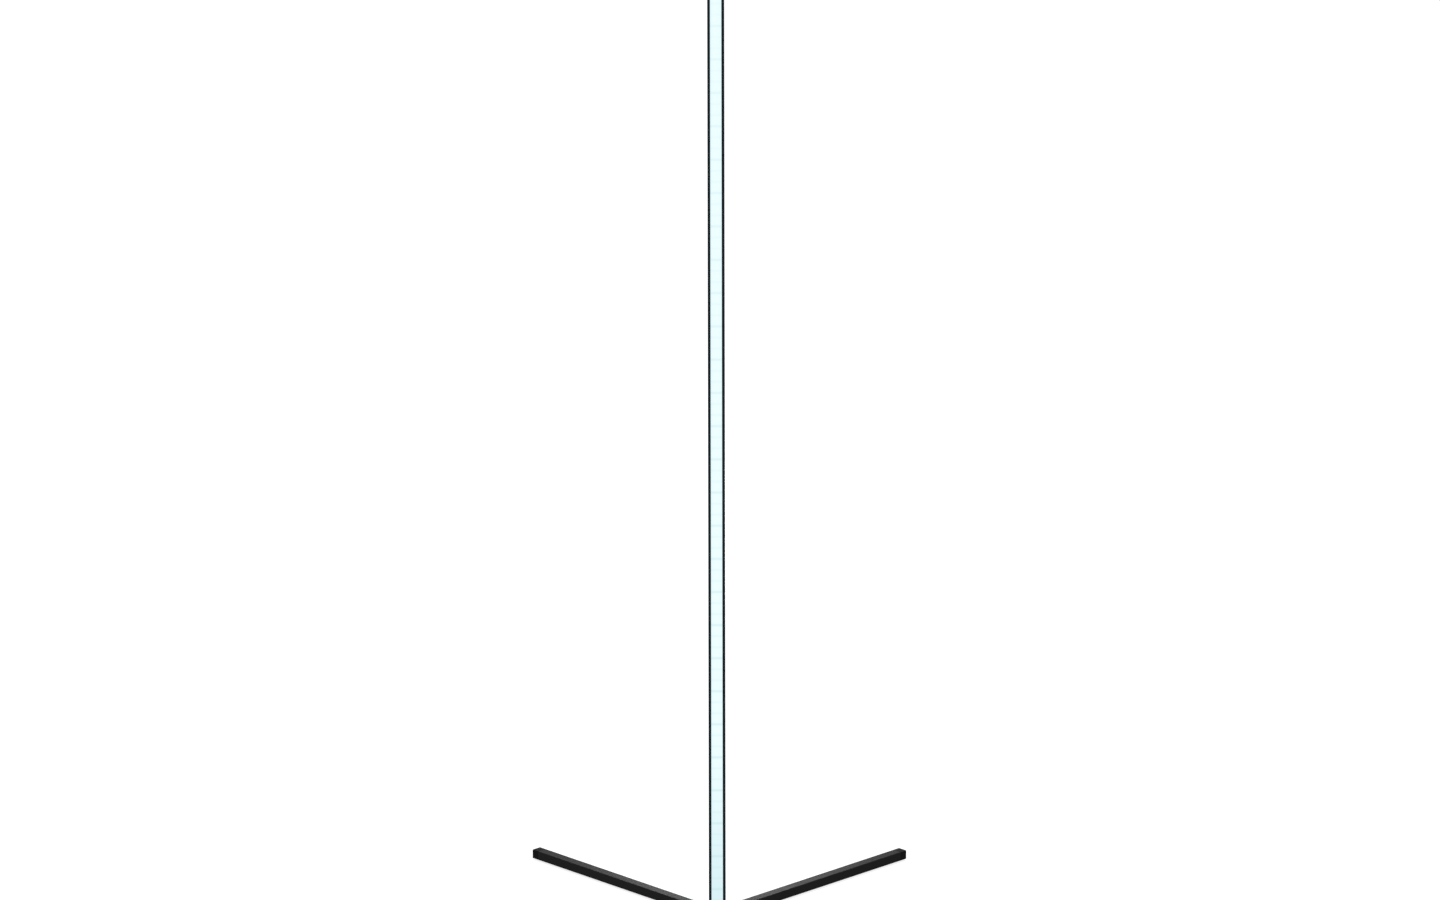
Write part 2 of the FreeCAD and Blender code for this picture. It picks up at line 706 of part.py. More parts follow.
def hub_room(body):
    """The wiring room: the cover's recess and tongue slot, the inlet's room, the leads' way up."""
    recess = new_sketch(body, "cover_recess")
    draw_rectangle(recess, f"-{COVER_HALF}", COVER_FRONT, COVER_HALF, COVER_BACK)
    pocket(body, "cover_recess", recess, "cover_wall", along_normal=True)
    slot = new_sketch(body, "tongue_slot", offset="cover_wall - tongue_wall - cover_play")
    half = "(tongue_width / 2 + cover_play)"
    draw_rectangle(slot, f"-{half}", ROOM_BACK, half, f"{COVER_BACK} + tongue_reach")
    pocket(body, "tongue_slot", slot, "tongue_wall + 2 * cover_play", along_normal=True)
    room = new_sketch(body, "room", offset="cover_wall")
    draw_rectangle(room, "-room_width / 2", "room_step", "room_width / 2", ROOM_BACK)
    pocket(body, "room", room, "room_height", along_normal=True)
    trench = new_sketch(body, "lead_trench", offset="cover_wall")
    front = f"{PORT_Y} - passage_depth / 2"
    draw_rectangle(trench, "-trench_width / 2", f"{front} - trench_front", "trench_width / 2", ROOM_BACK)
    pocket(body, "lead_trench", trench, "room_height", along_normal=True)
    passage = new_sketch(body, "passage", offset="cover_wall")
    back = f"{PORT_Y} + passage_depth / 2"
    draw_rectangle(passage, "-passage_width / 2", front, "passage_width / 2", back)
    pocket(body, "passage", passage, along_normal=True)


def hub_holes(body):
    """A trough and holes for the pole's screws, and the other screws' and the inlet's holes."""
    trough = new_sketch(body, "pole_screw_trough", offset="cover_wall")
    room = "port_screw_head / 2 + screw_gap"
    end = f"({PORT_X} + {room})"
    draw_rectangle(trough, f"-{end}", f"{PORT_Y} - ({room})", end, f"{PORT_Y} + {room}")
    pocket(body, "pole_screw_trough", trough, "pole_screw_sink", along_normal=True)
    through = new_sketch(body, "pole_screw_holes")
    for side in ("-", ""):
        draw_circle(through, f"{side}{PORT_X}", PORT_Y, "port_screw / 2 + screw_gap")
    pocket(body, "pole_screw_holes", through, along_normal=True)
    thread = new_sketch(body, "cover_thread")
    draw_circle(thread, "0", COVER_SCREW_Y, "cover_screw / 2 + thread_gap")
    pocket(body, "cover_thread", thread, "cover_screw_length + thread_room", along_normal=True)
    legs = new_sketch(body, "leg_threads")
    x, y = along_leg(LEG_SCREW_PLACE, "0")
    draw_circle(legs, x, y, JOINT_THREAD)
    draw_circle(legs, f"-({x})", y, JOINT_THREAD)
    pocket(body, "leg_threads", legs, along_normal=True)
    inlet = new_sketch(body, "inlet_hole", "XZ_Plane", f"-{HUB_BACK}")
    draw_circle(inlet, "0", "jack_height - foot_height", "jack_barrel / 2 + jack_gap")
    pocket(body, "inlet_hole", inlet, "room_wall + nut_wall", along_normal=True)


def hub_cover():
    """The plate that closes the wiring room: a tongue under the back wall, one screw at the front."""
    body = new_body("hub_cover", at=("0", "0", "foot_height"))
    plate = new_sketch(body, "plate")
    half = f"({COVER_HALF} - cover_play)"
    back = f"({COVER_BACK} - cover_play)"
    draw_rectangle(plate, f"-{half}", f"{COVER_FRONT} + cover_play", half, back)
    pad(body, "plate", plate, "cover_wall")
    tongue = new_sketch(body, "tongue", offset="cover_wall - tongue_wall")
    end = f"{COVER_BACK} + tongue_reach - cover_play"
    draw_rectangle(tongue, "-tongue_width / 2", ROOM_BACK, "tongue_width / 2", end)
    pad(body, "tongue", tongue, "tongue_wall")
    hole = new_sketch(body, "screw_hole")
    draw_circle(hole, "0", COVER_SCREW_Y, "cover_screw / 2 + screw_gap")
    pocket(body, "screw_hole", hole, along_normal=True)
    sink = new_sketch(body, "screw_sink", "XZ_Plane", f"-{COVER_SCREW_Y}")
    wide = "cover_screw_head / 2 + screw_gap"
    narrow = "cover_screw / 2 + screw_gap"
    draw_outline(sink, [("0", "0"), (wide, "0"), (narrow, SINK_DEPTH), ("0", SINK_DEPTH)])
    revolve(body, "screw_sink", sink, cutting=True)
    return body


def cover_screw():
    """A sunk screw from below into the hub."""
    body = new_body("cover_screw", ("0", COVER_SCREW_Y, "foot_height"), FACING_DOWN)
    turned_screw(body, sunk_head("cover_screw", "cover_screw_length", "cover_screw_head"))
    return body


def pole_screws():
    """Two long screws from the hub's underside into the screw ports of the channel."""
    seat = f"({COVER_TOP} + pole_screw_sink)"
    length = f"({POLE_BASE} + pole_screw_grip - {seat})"
    body = new_body("pole_screws", ("0", PORT_Y, seat), FACING_DOWN)
    outline = raised_head("port_screw", length, "port_screw_head", "port_screw_head_rise")
    screw = turned_screw(body, outline, PORT_X)
    mirror(body, "pair", [screw])
    return body


def hub_pad():
    """The rubber pad under the hub, which carries most of the lamp."""
    body = new_body("hub_pad")
    plate = new_sketch(body, "plate")
    half = f"({HUB_HALF} - pad_margin)"
    low = f"{HUB_FRONT} + pad_margin"
    high = f"{HUB_BACK} - pad_margin"
    draw_rounded_rectangle(plate, f"-{half}", low, half, high, "pad_corner")
    pad(body, "plate", plate, "foot_height")
    return body


# ---------------------------------------------------------------- legs
LEG_TURNS = {"left": "90 + leg_angle", "right": "90 - leg_angle"}


def leg_body(label, side, at="foot_height"):
    """A body whose own X runs out along one leg, at a height above the floor."""
    return new_body(label, ("0", "0", at), ((0, 0, 1), LEG_TURNS[side]))


def leg(side):
    """A rectangular tube from the hub's arm to its end cap."""
    body = leg_body(f"{side}_leg", side)
    section = new_sketch(body, "section", "YZ_Plane", "arm_reach + leg_seam")
    draw_rounded_rectangle(section, "-leg_width / 2", "0", "leg_width / 2", "leg_height", "leg_corner")
    inner = "(leg_width / 2 - leg_wall)"
    draw_rectangle(section, f"-{inner}", "leg_wall", inner, "leg_height - leg_wall")
    pad(body, "tube", section, f"{LEG_END} - arm_reach - 2 * leg_seam")
    hole = new_sketch(body, "screw_hole")
    draw_circle(hole, LEG_SCREW_PLACE, "0", JOINT_HOLE)
    pocket(body, "screw_hole", hole, "leg_wall + screw_gap", along_normal=True)
    return body


def leg_cap(side):
    """A moulded end cap: a visible block as wide as the tube, and a hollow insert in it."""
    body = leg_body(f"{side}_leg_cap", side)
    block = new_sketch(body, "block", "YZ_Plane", LEG_END)
    draw_rounded_rectangle(block, "-leg_width / 2", "0", "leg_width / 2", "leg_height", "leg_corner")
    pad(body, "block", block, "cap_length")
    tip = faces_where(body.Tip.Shape, lambda point: near(point.x, "leg_reach"))
    soften(body, "Chamfer", "tip", tip, "cap_edge")
    insert = new_sketch(body, "insert", "YZ_Plane", LEG_END)
    gap = "(leg_wall + cap_gap)"
    half = f"(leg_width / 2 - {gap})"
    draw_rectangle(insert, f"-{half}", gap, half, f"leg_height - {gap}")
    pad(body, "insert", insert, "cap_insert", backward=True)
    hollow = new_sketch(body, "hollow", "YZ_Plane", f"{LEG_END} - cap_insert")
    wall = f"({gap} + cap_wall)"
    inner = f"(leg_width / 2 - {wall})"
    draw_rectangle(hollow, f"-{inner}", wall, inner, f"leg_height - {wall}")
    pocket(body, "hollow", hollow, "cap_insert + cap_length / 2", along_normal=True)
    return body


def foot(side):
    """A rubber foot stuck under the leg, near its cap."""
    body = leg_body(f"{side}_foot", side, at="0")
    plate = new_sketch(body, "plate")
    half = "foot_width / 2"
    draw_rectangle(plate, f"{FOOT_PLACE} - foot_length / 2", f"-{half}",
                   f"{FOOT_PLACE} + foot_length / 2", half)
    pad(body, "plate", plate, "foot_height")
    return body


def leg_screws():
    """One screw from below through each leg into the hub's spigot."""
    body = leg_body("leg_screws", "right")
    outline = joint_screw("leg_screw_head_rise")
    upside_down = [(across, "0" if rise == "0" else f"-({rise})") for across, rise in outline]
    screw = turned_screw(body, upside_down, LEG_SCREW_PLACE)
    repeat(body, "both_legs", [screw], [(fan, "2 * leg_angle")])
    return body


# ---------------------------------------------------------------- inlet
JACK_AT = ("0", HUB_BACK, "jack_height")
JACK_END = "(jack_flange_rise - jack_depth - jack_back)"
SPRING_OUT = "(sqrt((jack_bore / 2 - spring_gap) ^ 2 - (spring_width / 2) ^ 2))"


def jack_housing():
    """The inlet's moulded housing: a flange outside the hub, a barrel through it and a bore."""
    body = new_body("jack_housing", JACK_AT, FACING_BACK)
    half = new_sketch(body, "half_outline", "XZ_Plane")
    floor = "jack_flange_rise - jack_depth"
    draw_outline(half, [
        ("jack_bore / 2", floor),
        ("jack_bore / 2", "jack_flange_rise"),
        ("jack_flange / 2", "jack_flange_rise"),
        ("jack_flange / 2", "0"),
        ("jack_barrel / 2", "0"),
        ("jack_barrel / 2", JACK_END),
        ("jack_pin / 2 + jack_collar + jack_gap", JACK_END),
        ("jack_pin / 2 + jack_collar + jack_gap", floor),
    ])
    revolve(body, "turned", half)
    slot = new_sketch(body, "spring_slot", offset=JACK_END)
    draw_rectangle(slot, "-spring_width / 2 - spring_gap", f"-{SPRING_OUT} - spring_gap",
                   "spring_width / 2 + spring_gap", f"-{SPRING_OUT} + spring_wall + spring_gap")
    pocket(body, "spring_slot", slot, "jack_back + spring_gap", along_normal=True)
    return body


def draw_hexagon(sketch, width):
    """A hexagon about the sketch's origin, given its width across flats."""
    corner = f"({width} / sqrt(3))"
    turns = range(0, 360, 60)
    draw_outline(sketch, [(f"{corner} * cos({turn})", f"{corner} * sin({turn})") for turn in turns])


def jack_nut():
    """The hexagon nut that holds the inlet against the inside of the hub's wall."""
    body = new_body("jack_nut", ("0", ROOM_BACK, "jack_height"), FACING_BACK)
    plate = new_sketch(body, "plate")
    draw_hexagon(plate, "nut_width")
    draw_circle(plate, "0", "0", "jack_barrel / 2 + jack_gap")
    pad(body, "plate", plate, "nut_wall", backward=True)
    return body


def jack_pin():
    """The centre contact: a pin in the bore on a thicker root, which goes on as its tail."""
    body = new_body("jack_pin", JACK_AT, FACING_BACK)
    half = new_sketch(body, "half_outline", "XZ_Plane")
    tip = "(jack_flange_rise - jack_pin_short)"
    floor = "jack_flange_rise - jack_depth"
    draw_outline(half, [
        ("0", f"{JACK_END} - jack_tail"),
        ("jack_pin / 2 + jack_collar", f"{JACK_END} - jack_tail"),
        ("jack_pin / 2 + jack_collar", floor),
        ("jack_pin / 2", floor),
        ("jack_pin / 2", tip),
        ("0", tip),
    ])
    revolve(body, "turned", half)
    return body


def jack_spring():
    """The outer contact: a leaf along the top of the bore, out through the housing's back."""
    body = new_body("jack_spring", JACK_AT, FACING_BACK)
    leaf = new_sketch(body, "leaf", offset=f"{JACK_END} - jack_tail")
    draw_rectangle(leaf, "-spring_width / 2", f"-{SPRING_OUT}", "spring_width / 2",
                   f"-{SPRING_OUT} + spring_wall")
    pad(body, "leaf", leaf, "jack_tail + jack_back + jack_depth - spring_short")
    return body


# ---------------------------------------------------------------- leads
LEAD_SIDE = f"({RIB_OUTSIDE} + lead_drop)"
LEAD_CROSSING = f"({POLE_BASE} + pole_spigot + 2 * lead_rise)"


def lead_shape(side, start_height):
    """One lead from the back of the inlet, up the passage and through the web to the strip."""
    radius = value("lead_radius")
    inlet = value(f"{HUB_BACK} + {JACK_END} - jack_tail - lead_gap")
    stub = inlet - value("lead_stub")
    spread = side * value("lead_spread")
    aside = side * value(LEAD_SIDE)
    inside_rib = value(f"{RIB_INSIDE} - lead_radius")
    middle = value(PORT_Y)
    crossing = value(LEAD_CROSSING)
    solder_height = value(f"{POLE_BASE} + lead_rise")
    over_rib = value(f"{WEB_FRONT} - rib_rise - lead_radius - lead_gap")
    on_strip = value(f"{STRIP_FRONT} - lead_radius - 2 * lead_gap")
    points = [
        FreeCAD.Vector(0, inlet, start_height),
        FreeCAD.Vector(0, stub, start_height),
        FreeCAD.Vector(spread, middle, start_height + value("lead_climb")),
        FreeCAD.Vector(spread, middle, crossing),
        FreeCAD.Vector(aside, over_rib, crossing),
        FreeCAD.Vector(aside, over_rib, solder_height + value("lead_rise")),
        FreeCAD.Vector(side * inside_rib, over_rib, solder_height + value("lead_drop")),
        FreeCAD.Vector(side * value("strip_width / 4"), on_strip, solder_height),
    ]
    around = [FreeCAD.Vector(math.cos(turn), 0, math.sin(turn)) * radius
              for turn in (step * math.pi / 3 for step in range(7))]
    section = Part.makePolygon([points[0] + corner for corner in around])
    return Part.makePolygon(points).makePipeShell([section], True, False, 1)


def supply_leads():
    """Both leads, as two six-sided solids of one part."""
    leads = doc.addObject("Part::Feature", "supply_leads")
    leads.Label = "supply_leads"
    spring_height = value(f"jack_height + {SPRING_OUT} - spring_wall / 2")
    leads.Shape = Part.makeCompound([lead_shape(-1, value("jack_height")), lead_shape(1, spring_height)])
    leads.Placement = FreeCAD.Placement()
    return leads


# ---------------------------------------------------------------- the whole lamp
def build():
    """Make every sub-part and give them back in the order they are listed."""
    subparts = [channel_section(label, number) for number, label in enumerate(SECTIONS)]
    lead_windows(subparts[0])
    subparts += [splice_bar(label, number) for number, label in enumerate(JOINTS, start=1)]
    subparts += [splice_screws(), diffuser(), led_strip(), led_chips(), strip_resistors(), top_cap()]
    subparts += [hub(), hub_cover(), cover_screw(), pole_screws(), hub_pad()]
    for side in LEG_TURNS:
        subparts += [leg(side), leg_cap(side), foot(side)]
    subparts += [leg_screws(), jack_housing(), jack_nut(), jack_pin(), jack_spring(), supply_leads()]
    return subparts


def write(subparts):
    """Check every object and write one file for each sub-part."""
    doc.recompute()
    failed = [item.Label for item in doc.Objects if {"Invalid", "Error"} & set(item.State)]
    if failed:
        raise RuntimeError(f"failed objects: {failed}")
    os.makedirs("parts", exist_ok=True)
    for subpart in subparts:
        if subpart.Shape.isNull() or not subpart.Shape.isValid() or not subpart.Shape.Solids:
            raise RuntimeError(f"{subpart.Label} has no valid solid")
        subpart.Shape.exportStep(f"parts/{subpart.Label}.step")
        print(subpart.Label, len(subpart.Shape.Solids), round(subpart.Shape.Volume, 1))


write(build())
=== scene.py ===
"""Corner floor lamp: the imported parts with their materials, and the small pieces in full detail.

Metres, +Z up, in the frame of the CAD parts. Lengths are written in millimetres times MM.
"""
import json
import math

import bmesh
import bpy
from mathutils import Matrix, Vector


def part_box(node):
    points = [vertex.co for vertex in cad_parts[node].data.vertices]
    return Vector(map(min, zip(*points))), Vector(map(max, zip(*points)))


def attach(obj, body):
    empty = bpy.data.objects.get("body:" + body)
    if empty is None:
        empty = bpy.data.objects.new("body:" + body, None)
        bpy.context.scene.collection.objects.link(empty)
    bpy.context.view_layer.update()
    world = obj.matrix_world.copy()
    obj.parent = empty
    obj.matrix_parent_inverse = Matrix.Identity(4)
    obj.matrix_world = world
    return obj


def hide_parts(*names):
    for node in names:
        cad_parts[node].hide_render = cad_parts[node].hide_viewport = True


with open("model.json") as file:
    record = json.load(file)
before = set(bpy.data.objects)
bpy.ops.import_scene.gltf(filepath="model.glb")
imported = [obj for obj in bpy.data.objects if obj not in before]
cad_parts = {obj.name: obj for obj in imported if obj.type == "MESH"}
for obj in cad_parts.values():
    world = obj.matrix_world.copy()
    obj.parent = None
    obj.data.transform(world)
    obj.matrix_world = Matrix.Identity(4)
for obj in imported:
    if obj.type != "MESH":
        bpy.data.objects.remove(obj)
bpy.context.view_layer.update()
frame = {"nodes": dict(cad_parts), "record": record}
nodes = frame["nodes"]

MM = 0.001

# The photograph's view: where the camera looks, from where, and how large the object comes out.
TARGET = Vector((4.97, 0, 711.55)) * MM
YAW = math.radians(0.6857)
ELEVATION = math.radians(18.9497)
ROLL = math.radians(0.1037)
DISTANCE = 49.48
PIXELS_PER_METRE = 702.068
FRAME_PIXELS = 1440
SENSOR = 36.0


# ---------------------------------------------------------------- materials
class Surface:
    """A material whose shader is fed by procedural nodes in the object's own coordinates."""

    def __init__(self, name, **constants):
        self.material = bpy.data.materials.new(name)
        self.material.use_nodes = True
        self.tree = self.material.node_tree
        self.shader = self.tree.nodes["Principled BSDF"]
        self.place = self.tree.nodes.new("ShaderNodeTexCoord").outputs["Object"]
        self.set(**constants)

    def set(self, **constants):
        """Set sockets of the shader, named with underscores for spaces."""
        for name, value in constants.items():
            self.shader.inputs[name.replace("_", " ")].default_value = value

    def node(self, kind, feeds=(), **settings):
        """A node with its settings, and with values or links for its inputs."""
        node = self.tree.nodes.new(kind)
        for name, value in settings.items():
            setattr(node, name, value)
        for socket, value in dict(feeds).items():
            if isinstance(value, bpy.types.NodeSocket):
                self.tree.links.new(value, node.inputs[socket])
            else:
                node.inputs[socket].default_value = value
        return node

    def noise(self, scale, detail=2.0, stretch=(1, 1, 1), roughness=0.5):
        """Noise of a number of grains to the metre, stretched along an axis by a small factor."""
        mapped = self.node("ShaderNodeMapping", {"Vector": self.place, "Scale": stretch}).outputs[0]
        feeds = {"Vector": mapped, "Scale": scale, "Detail": detail, "Roughness": roughness}
        return self.node("ShaderNodeTexNoise", feeds).outputs["Fac"]

    def span(self, source, low, high, start=0.0, end=1.0):
        """A number taken from one range to another."""
        feeds = {"Value": source, "From Min": start, "From Max": end, "To Min": low, "To Max": high}
        return self.node("ShaderNodeMapRange", feeds).outputs[0]

    def math(self, operation, first, second=0.0, third=0.0):
        """A sum, product or other operation on numbers."""
        feeds = {0: first, 1: second, 2: third}
        return self.node("ShaderNodeMath", feeds, operation=operation).outputs[0]

    def blend(self, amount, first, second):
        """A colour between two, by an amount."""
        node = self.node("ShaderNodeMix", data_type="RGBA")
        sockets = [socket for socket in node.inputs if socket.type == "RGBA"]
        for socket, value in zip([node.inputs[0]] + sockets, (amount, first, second)):
            if isinstance(value, bpy.types.NodeSocket):
                self.tree.links.new(value, socket)
            else:
                socket.default_value = value if isinstance(value, float) else (*value, 1)
        return next(socket for socket in node.outputs if socket.type == "RGBA")

    def feed(self, socket, source):
        """Drive one of the shader's sockets."""
        self.tree.links.new(source, self.shader.inputs[socket])

    def bump(self, heights, distance, strength=1.0):
        """Raise the surface by a number from 0 to 1, up to a distance; bumps add up."""
        feeds = {"Height": heights, "Distance": distance, "Strength": strength}
        if self.shader.inputs["Normal"].is_linked:
            feeds["Normal"] = self.shader.inputs["Normal"].links[0].from_socket
        self.feed("Normal", self.node("ShaderNodeBump", feeds).outputs[0])


def anodised():
    """Satin black anodised aluminium, with the die's fine lines along the extrusion."""
    skin = Surface("black_anodised", Metallic=0.9, Roughness=0.4, Specular_IOR_Level=0.15)
    lines = skin.noise(2400, 3, (1, 1, 0.004))
    tone = skin.noise(7, 2, (1, 1, 0.5))
    shade = skin.math("MULTIPLY_ADD", lines, 0.4, skin.math("MULTIPLY", tone, 0.6))
    skin.feed("Base Color", skin.blend(shade, (0.005, 0.008, 0.010), (0.014, 0.020, 0.024)))
    skin.feed("Roughness", skin.span(shade, 0.34, 0.50))
    skin.bump(lines, 0.010 * MM)
    return skin.material


def powder_coat():
    """Black powder coat: an even orange-peel skin with a few finer grains."""
    skin = Surface("black_powder_coat", Roughness=0.5, Specular_IOR_Level=0.04)
    peel = skin.noise(900, 2)
    grain = skin.noise(4200, 2)
    tone = skin.noise(14, 3)
    skin.feed("Base Color", skin.blend(tone, (0.0095, 0.0095, 0.0098), (0.0175, 0.0175, 0.018)))
    skin.feed("Roughness", skin.span(tone, 0.46, 0.56))
    skin.bump(peel, 0.030 * MM)
    skin.bump(grain, 0.008 * MM)
    return skin.material


def moulding(name, base, roughness, grain_size):
    """Black plastic with a spark-eroded grain."""
    skin = Surface(name, Roughness=roughness, Specular_IOR_Level=0.03)
    grain = skin.noise(1 / (grain_size * MM), 3)
    tone = skin.noise(30, 2)
    darker = [part * 0.8 for part in base]
    lighter = [part * 1.2 for part in base]
    skin.feed("Base Color", skin.blend(tone, darker, lighter))
    skin.feed("Roughness", skin.span(grain, roughness - 0.06, roughness + 0.06))
    skin.bump(grain, 0.02 * grain_size * MM)
    return skin.material


def rubber():
    """Dull black rubber with a little bloom."""
    skin = Surface("black_rubber", Roughness=0.85, Specular_IOR_Level=0.25)
    bloom = skin.noise(120, 4)
    skin.feed("Base Color", skin.blend(bloom, (0.010, 0.010, 0.010), (0.022, 0.021, 0.020)))
    skin.feed("Roughness", skin.span(bloom, 0.78, 0.92))
    skin.bump(skin.noise(1500, 2), 0.020 * MM)
    return skin.material


LIGHT_PITCH = 50 / 3 * MM
DIP_AT = 0.6 * MM
DIP_HALF = 3.2 * MM
GLOW_HALF_WIDTH = 8.1 * MM


def diffuser_skin():
    """Milky plastic lit from behind: a glow that dips between the lights and cools to the sides."""
    skin = Surface("milky_diffuser", Roughness=0.42, Specular_IOR_Level=0.3, Emission_Strength=1.0)
    skin.set(Base_Color=(0.10, 0.105, 0.106, 1))
    split = skin.node("ShaderNodeSeparateXYZ", {0: skin.place}).outputs
    across, up = split[0], split[2]

    def dips(pitch, start, half):
        """1 at each mark, falling to 0 at a half width on both sides."""
        offset = skin.math("SUBTRACT", up, start)
        away = skin.math("PINGPONG", offset, pitch / 2)
        return skin.node("ShaderNodeMapRange", {"Value": away, "From Min": 0.0, "From Max": half,
                                                "To Min": 1.0, "To Max": 0.0},
                         interpolation_type="SMOOTHERSTEP").outputs[0]

    every = dips(LIGHT_PITCH, DIP_AT, DIP_HALF)
    third = dips(3 * LIGHT_PITCH, DIP_AT, 1.2 * DIP_HALF)
    lower = skin.span(up, 1.0, 0.45, 0.05, 1.40)
    both = skin.math("MULTIPLY_ADD", third, 0.9, skin.math("MULTIPLY", every, 0.7))
    depth = skin.math("MULTIPLY", both, lower)
    edge = skin.math("POWER", skin.math("DIVIDE", skin.math("ABSOLUTE", across), GLOW_HALF_WIDTH), 4.0)
    cloud = skin.noise(40, 2)
    core = skin.blend(skin.math("MULTIPLY", edge, 0.85), (0.80, 0.93, 0.95), (0.66, 0.88, 0.91))
    foot = skin.node("ShaderNodeMapRange", {"Value": up, "From Min": 0.03, "From Max": 0.28,
                                            "To Min": 1.0, "To Max": 0.0},
                     interpolation_type="SMOOTHSTEP").outputs[0]
    shaded = skin.blend(skin.math("MULTIPLY", foot, 0.85), core, (0.61, 0.80, 0.84))
    marked = skin.blend(skin.math("MULTIPLY", depth, 0.30), shaded, (0.45, 0.72, 0.74))
    skin.feed("Emission Color", skin.blend(skin.math("MULTIPLY", cloud, 0.05), marked, (0.75, 0.93, 0.95)))
    skin.bump(skin.noise(1600, 2, (1, 1, 0.05)), 0.006 * MM)
    return skin.material


def raw_aluminium():
    """Bare extruded bar: bright, with lines along its length."""
    skin = Surface("raw_aluminium", Metallic=1.0, Roughness=0.35)
    lines = skin.noise(1800, 4, (1, 1, 0.006))
    skin.feed("Base Color", skin.blend(lines, (0.52, 0.53, 0.55), (0.74, 0.75, 0.77)))
    skin.feed("Roughness", skin.span(lines, 0.26, 0.46))
    skin.bump(lines, 0.012 * MM)
    return skin.material


def black_screw():
    """Black oxide on steel, worn a little brighter in patches."""
    skin = Surface("black_screw", Metallic=0.95, Roughness=0.42)
    wear = skin.noise(700, 4)
    skin.feed("Base Color", skin.blend(wear, (0.020, 0.020, 0.023), (0.060, 0.060, 0.064)))
    skin.feed("Roughness", skin.span(wear, 0.34, 0.52))
    skin.bump(skin.noise(3000, 2), 0.004 * MM)
    return skin.material


PAD_PITCH = 50 * MM
STRIP_BASE = 22 * MM


def strip_board():
    """White solder mask over copper: tinned pads at every cutting line, and faint tracks."""
    skin = Surface("strip_board", Roughness=0.5, Specular_IOR_Level=0.4)
    split = skin.node("ShaderNodeSeparateXYZ", {0: skin.place}).outputs
    off_centre = skin.math("SUBTRACT", skin.math("ABSOLUTE", split[0]), 2.5 * MM)
    away = skin.math("PINGPONG", skin.math("SUBTRACT", split[2], STRIP_BASE), PAD_PITCH / 2)
    in_x = skin.math("LESS_THAN", skin.math("ABSOLUTE", off_centre), 1.1 * MM)
    in_z = skin.math("LESS_THAN", away, 2.0 * MM)
    pads = skin.math("MULTIPLY", in_x, in_z)
    off_track = skin.math("ABSOLUTE", skin.math("SUBTRACT", off_centre, 1.3 * MM))
    track = skin.math("LESS_THAN", off_track, 0.5 * MM)
    mask = skin.blend(skin.math("MULTIPLY", track, 0.5), (0.80, 0.81, 0.80), (0.74, 0.75, 0.72))
    skin.feed("Base Color", skin.blend(pads, mask, (0.70, 0.66, 0.55)))
    skin.feed("Metallic", pads)
    skin.feed("Roughness", skin.span(skin.noise(900, 3), 0.42, 0.58))
    skin.bump(skin.math("MAXIMUM", track, pads), 0.03 * MM)
    return skin.material


def led_frame():
    """The package's white moulded frame."""
    skin = Surface("led_package", Roughness=0.4)
    tone = skin.noise(500, 2)
    skin.feed("Base Color", skin.blend(tone, (0.80, 0.80, 0.78), (0.88, 0.88, 0.86)))
    skin.bump(skin.noise(3000, 2), 0.004 * MM)
    return skin.material


def led_phosphor():
    """Clear resin over yellow phosphor."""
    skin = Surface("led_phosphor", Roughness=0.25, Coat_Weight=0.6)
    tone = skin.noise(1500, 3)
    skin.feed("Base Color", skin.blend(tone, (0.84, 0.62, 0.12), (0.92, 0.76, 0.25)))
    skin.bump(tone, 0.01 * MM)
    return skin.material


def resistor_body():
    """Dark glaze on a small ceramic chip."""
    skin = Surface("resistor_body", Roughness=0.4)
    tone = skin.noise(1800, 2)
    skin.feed("Base Color", skin.blend(tone, (0.012, 0.012, 0.014), (0.030, 0.030, 0.033)))
    skin.bump(tone, 0.01 * MM)
    return skin.material


def plated(name, base):
    """Plated or soldered metal with fine scratches."""
    skin = Surface(name, Metallic=1.0, Roughness=0.25)
    scratches = skin.noise(2600, 3, (1, 0.08, 1))
    skin.feed("Base Color", skin.blend(scratches, [part * 0.85 for part in base], base))
    skin.feed("Roughness", skin.span(scratches, 0.16, 0.36))
    skin.bump(scratches, 0.004 * MM)
    return skin.material


def insulation():
    """Smooth vinyl insulation, slightly scuffed."""
    skin = Surface("lead_insulation", Roughness=0.45)
    scuff = skin.noise(700, 3)
    skin.feed("Base Color", skin.blend(scuff, (0.60, 0.60, 0.58), (0.74, 0.74, 0.72)))
    skin.feed("Roughness", skin.span(scuff, 0.38, 0.55))
    skin.bump(scuff, 0.01 * MM)
    return skin.material


SKINS = {
    "black_anodised": anodised(),
    "raw_aluminium": raw_aluminium(),
    "black_screw": black_screw(),
    "milky_diffuser": diffuser_skin(),
    "strip_board": strip_board(),
    "led_package": led_frame(),
    "resistor_body": resistor_body(),
    "black_moulding": moulding("black_moulding", (0.006, 0.006, 0.007), 0.58, 0.35),
    "black_powder_coat": powder_coat(),
    "black_rubber": rubber(),
    "jack_moulding": moulding("jack_moulding", (0.015, 0.015, 0.016), 0.32, 0.6),
    "plated_contact": plated("plated_contact", (0.72, 0.71, 0.68)),
    "lead_insulation": insulation(),
}
PHOSPHOR = led_phosphor()
TIN = plated("tinned_end", (0.70, 0.70, 0.70))
SLOT_OF = {part["node"]: part["material_slot"] for part in frame["record"]["subparts"]}


def dress_nodes():
    """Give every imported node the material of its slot."""
    for name, node in nodes.items():
        node.data.materials.clear()
        node.data.materials.append(SKINS[SLOT_OF[name]])


# ---------------------------------------------------------------- shapes
def circle(radius):
    """The radius of a circle at any angle."""
    return lambda angle: radius


def hexagon(flats):
    """The radius of a hexagon, given its width across flats."""
    sector = math.pi / 3
    return lambda angle: flats / 2 / math.cos(angle % sector - sector / 2)


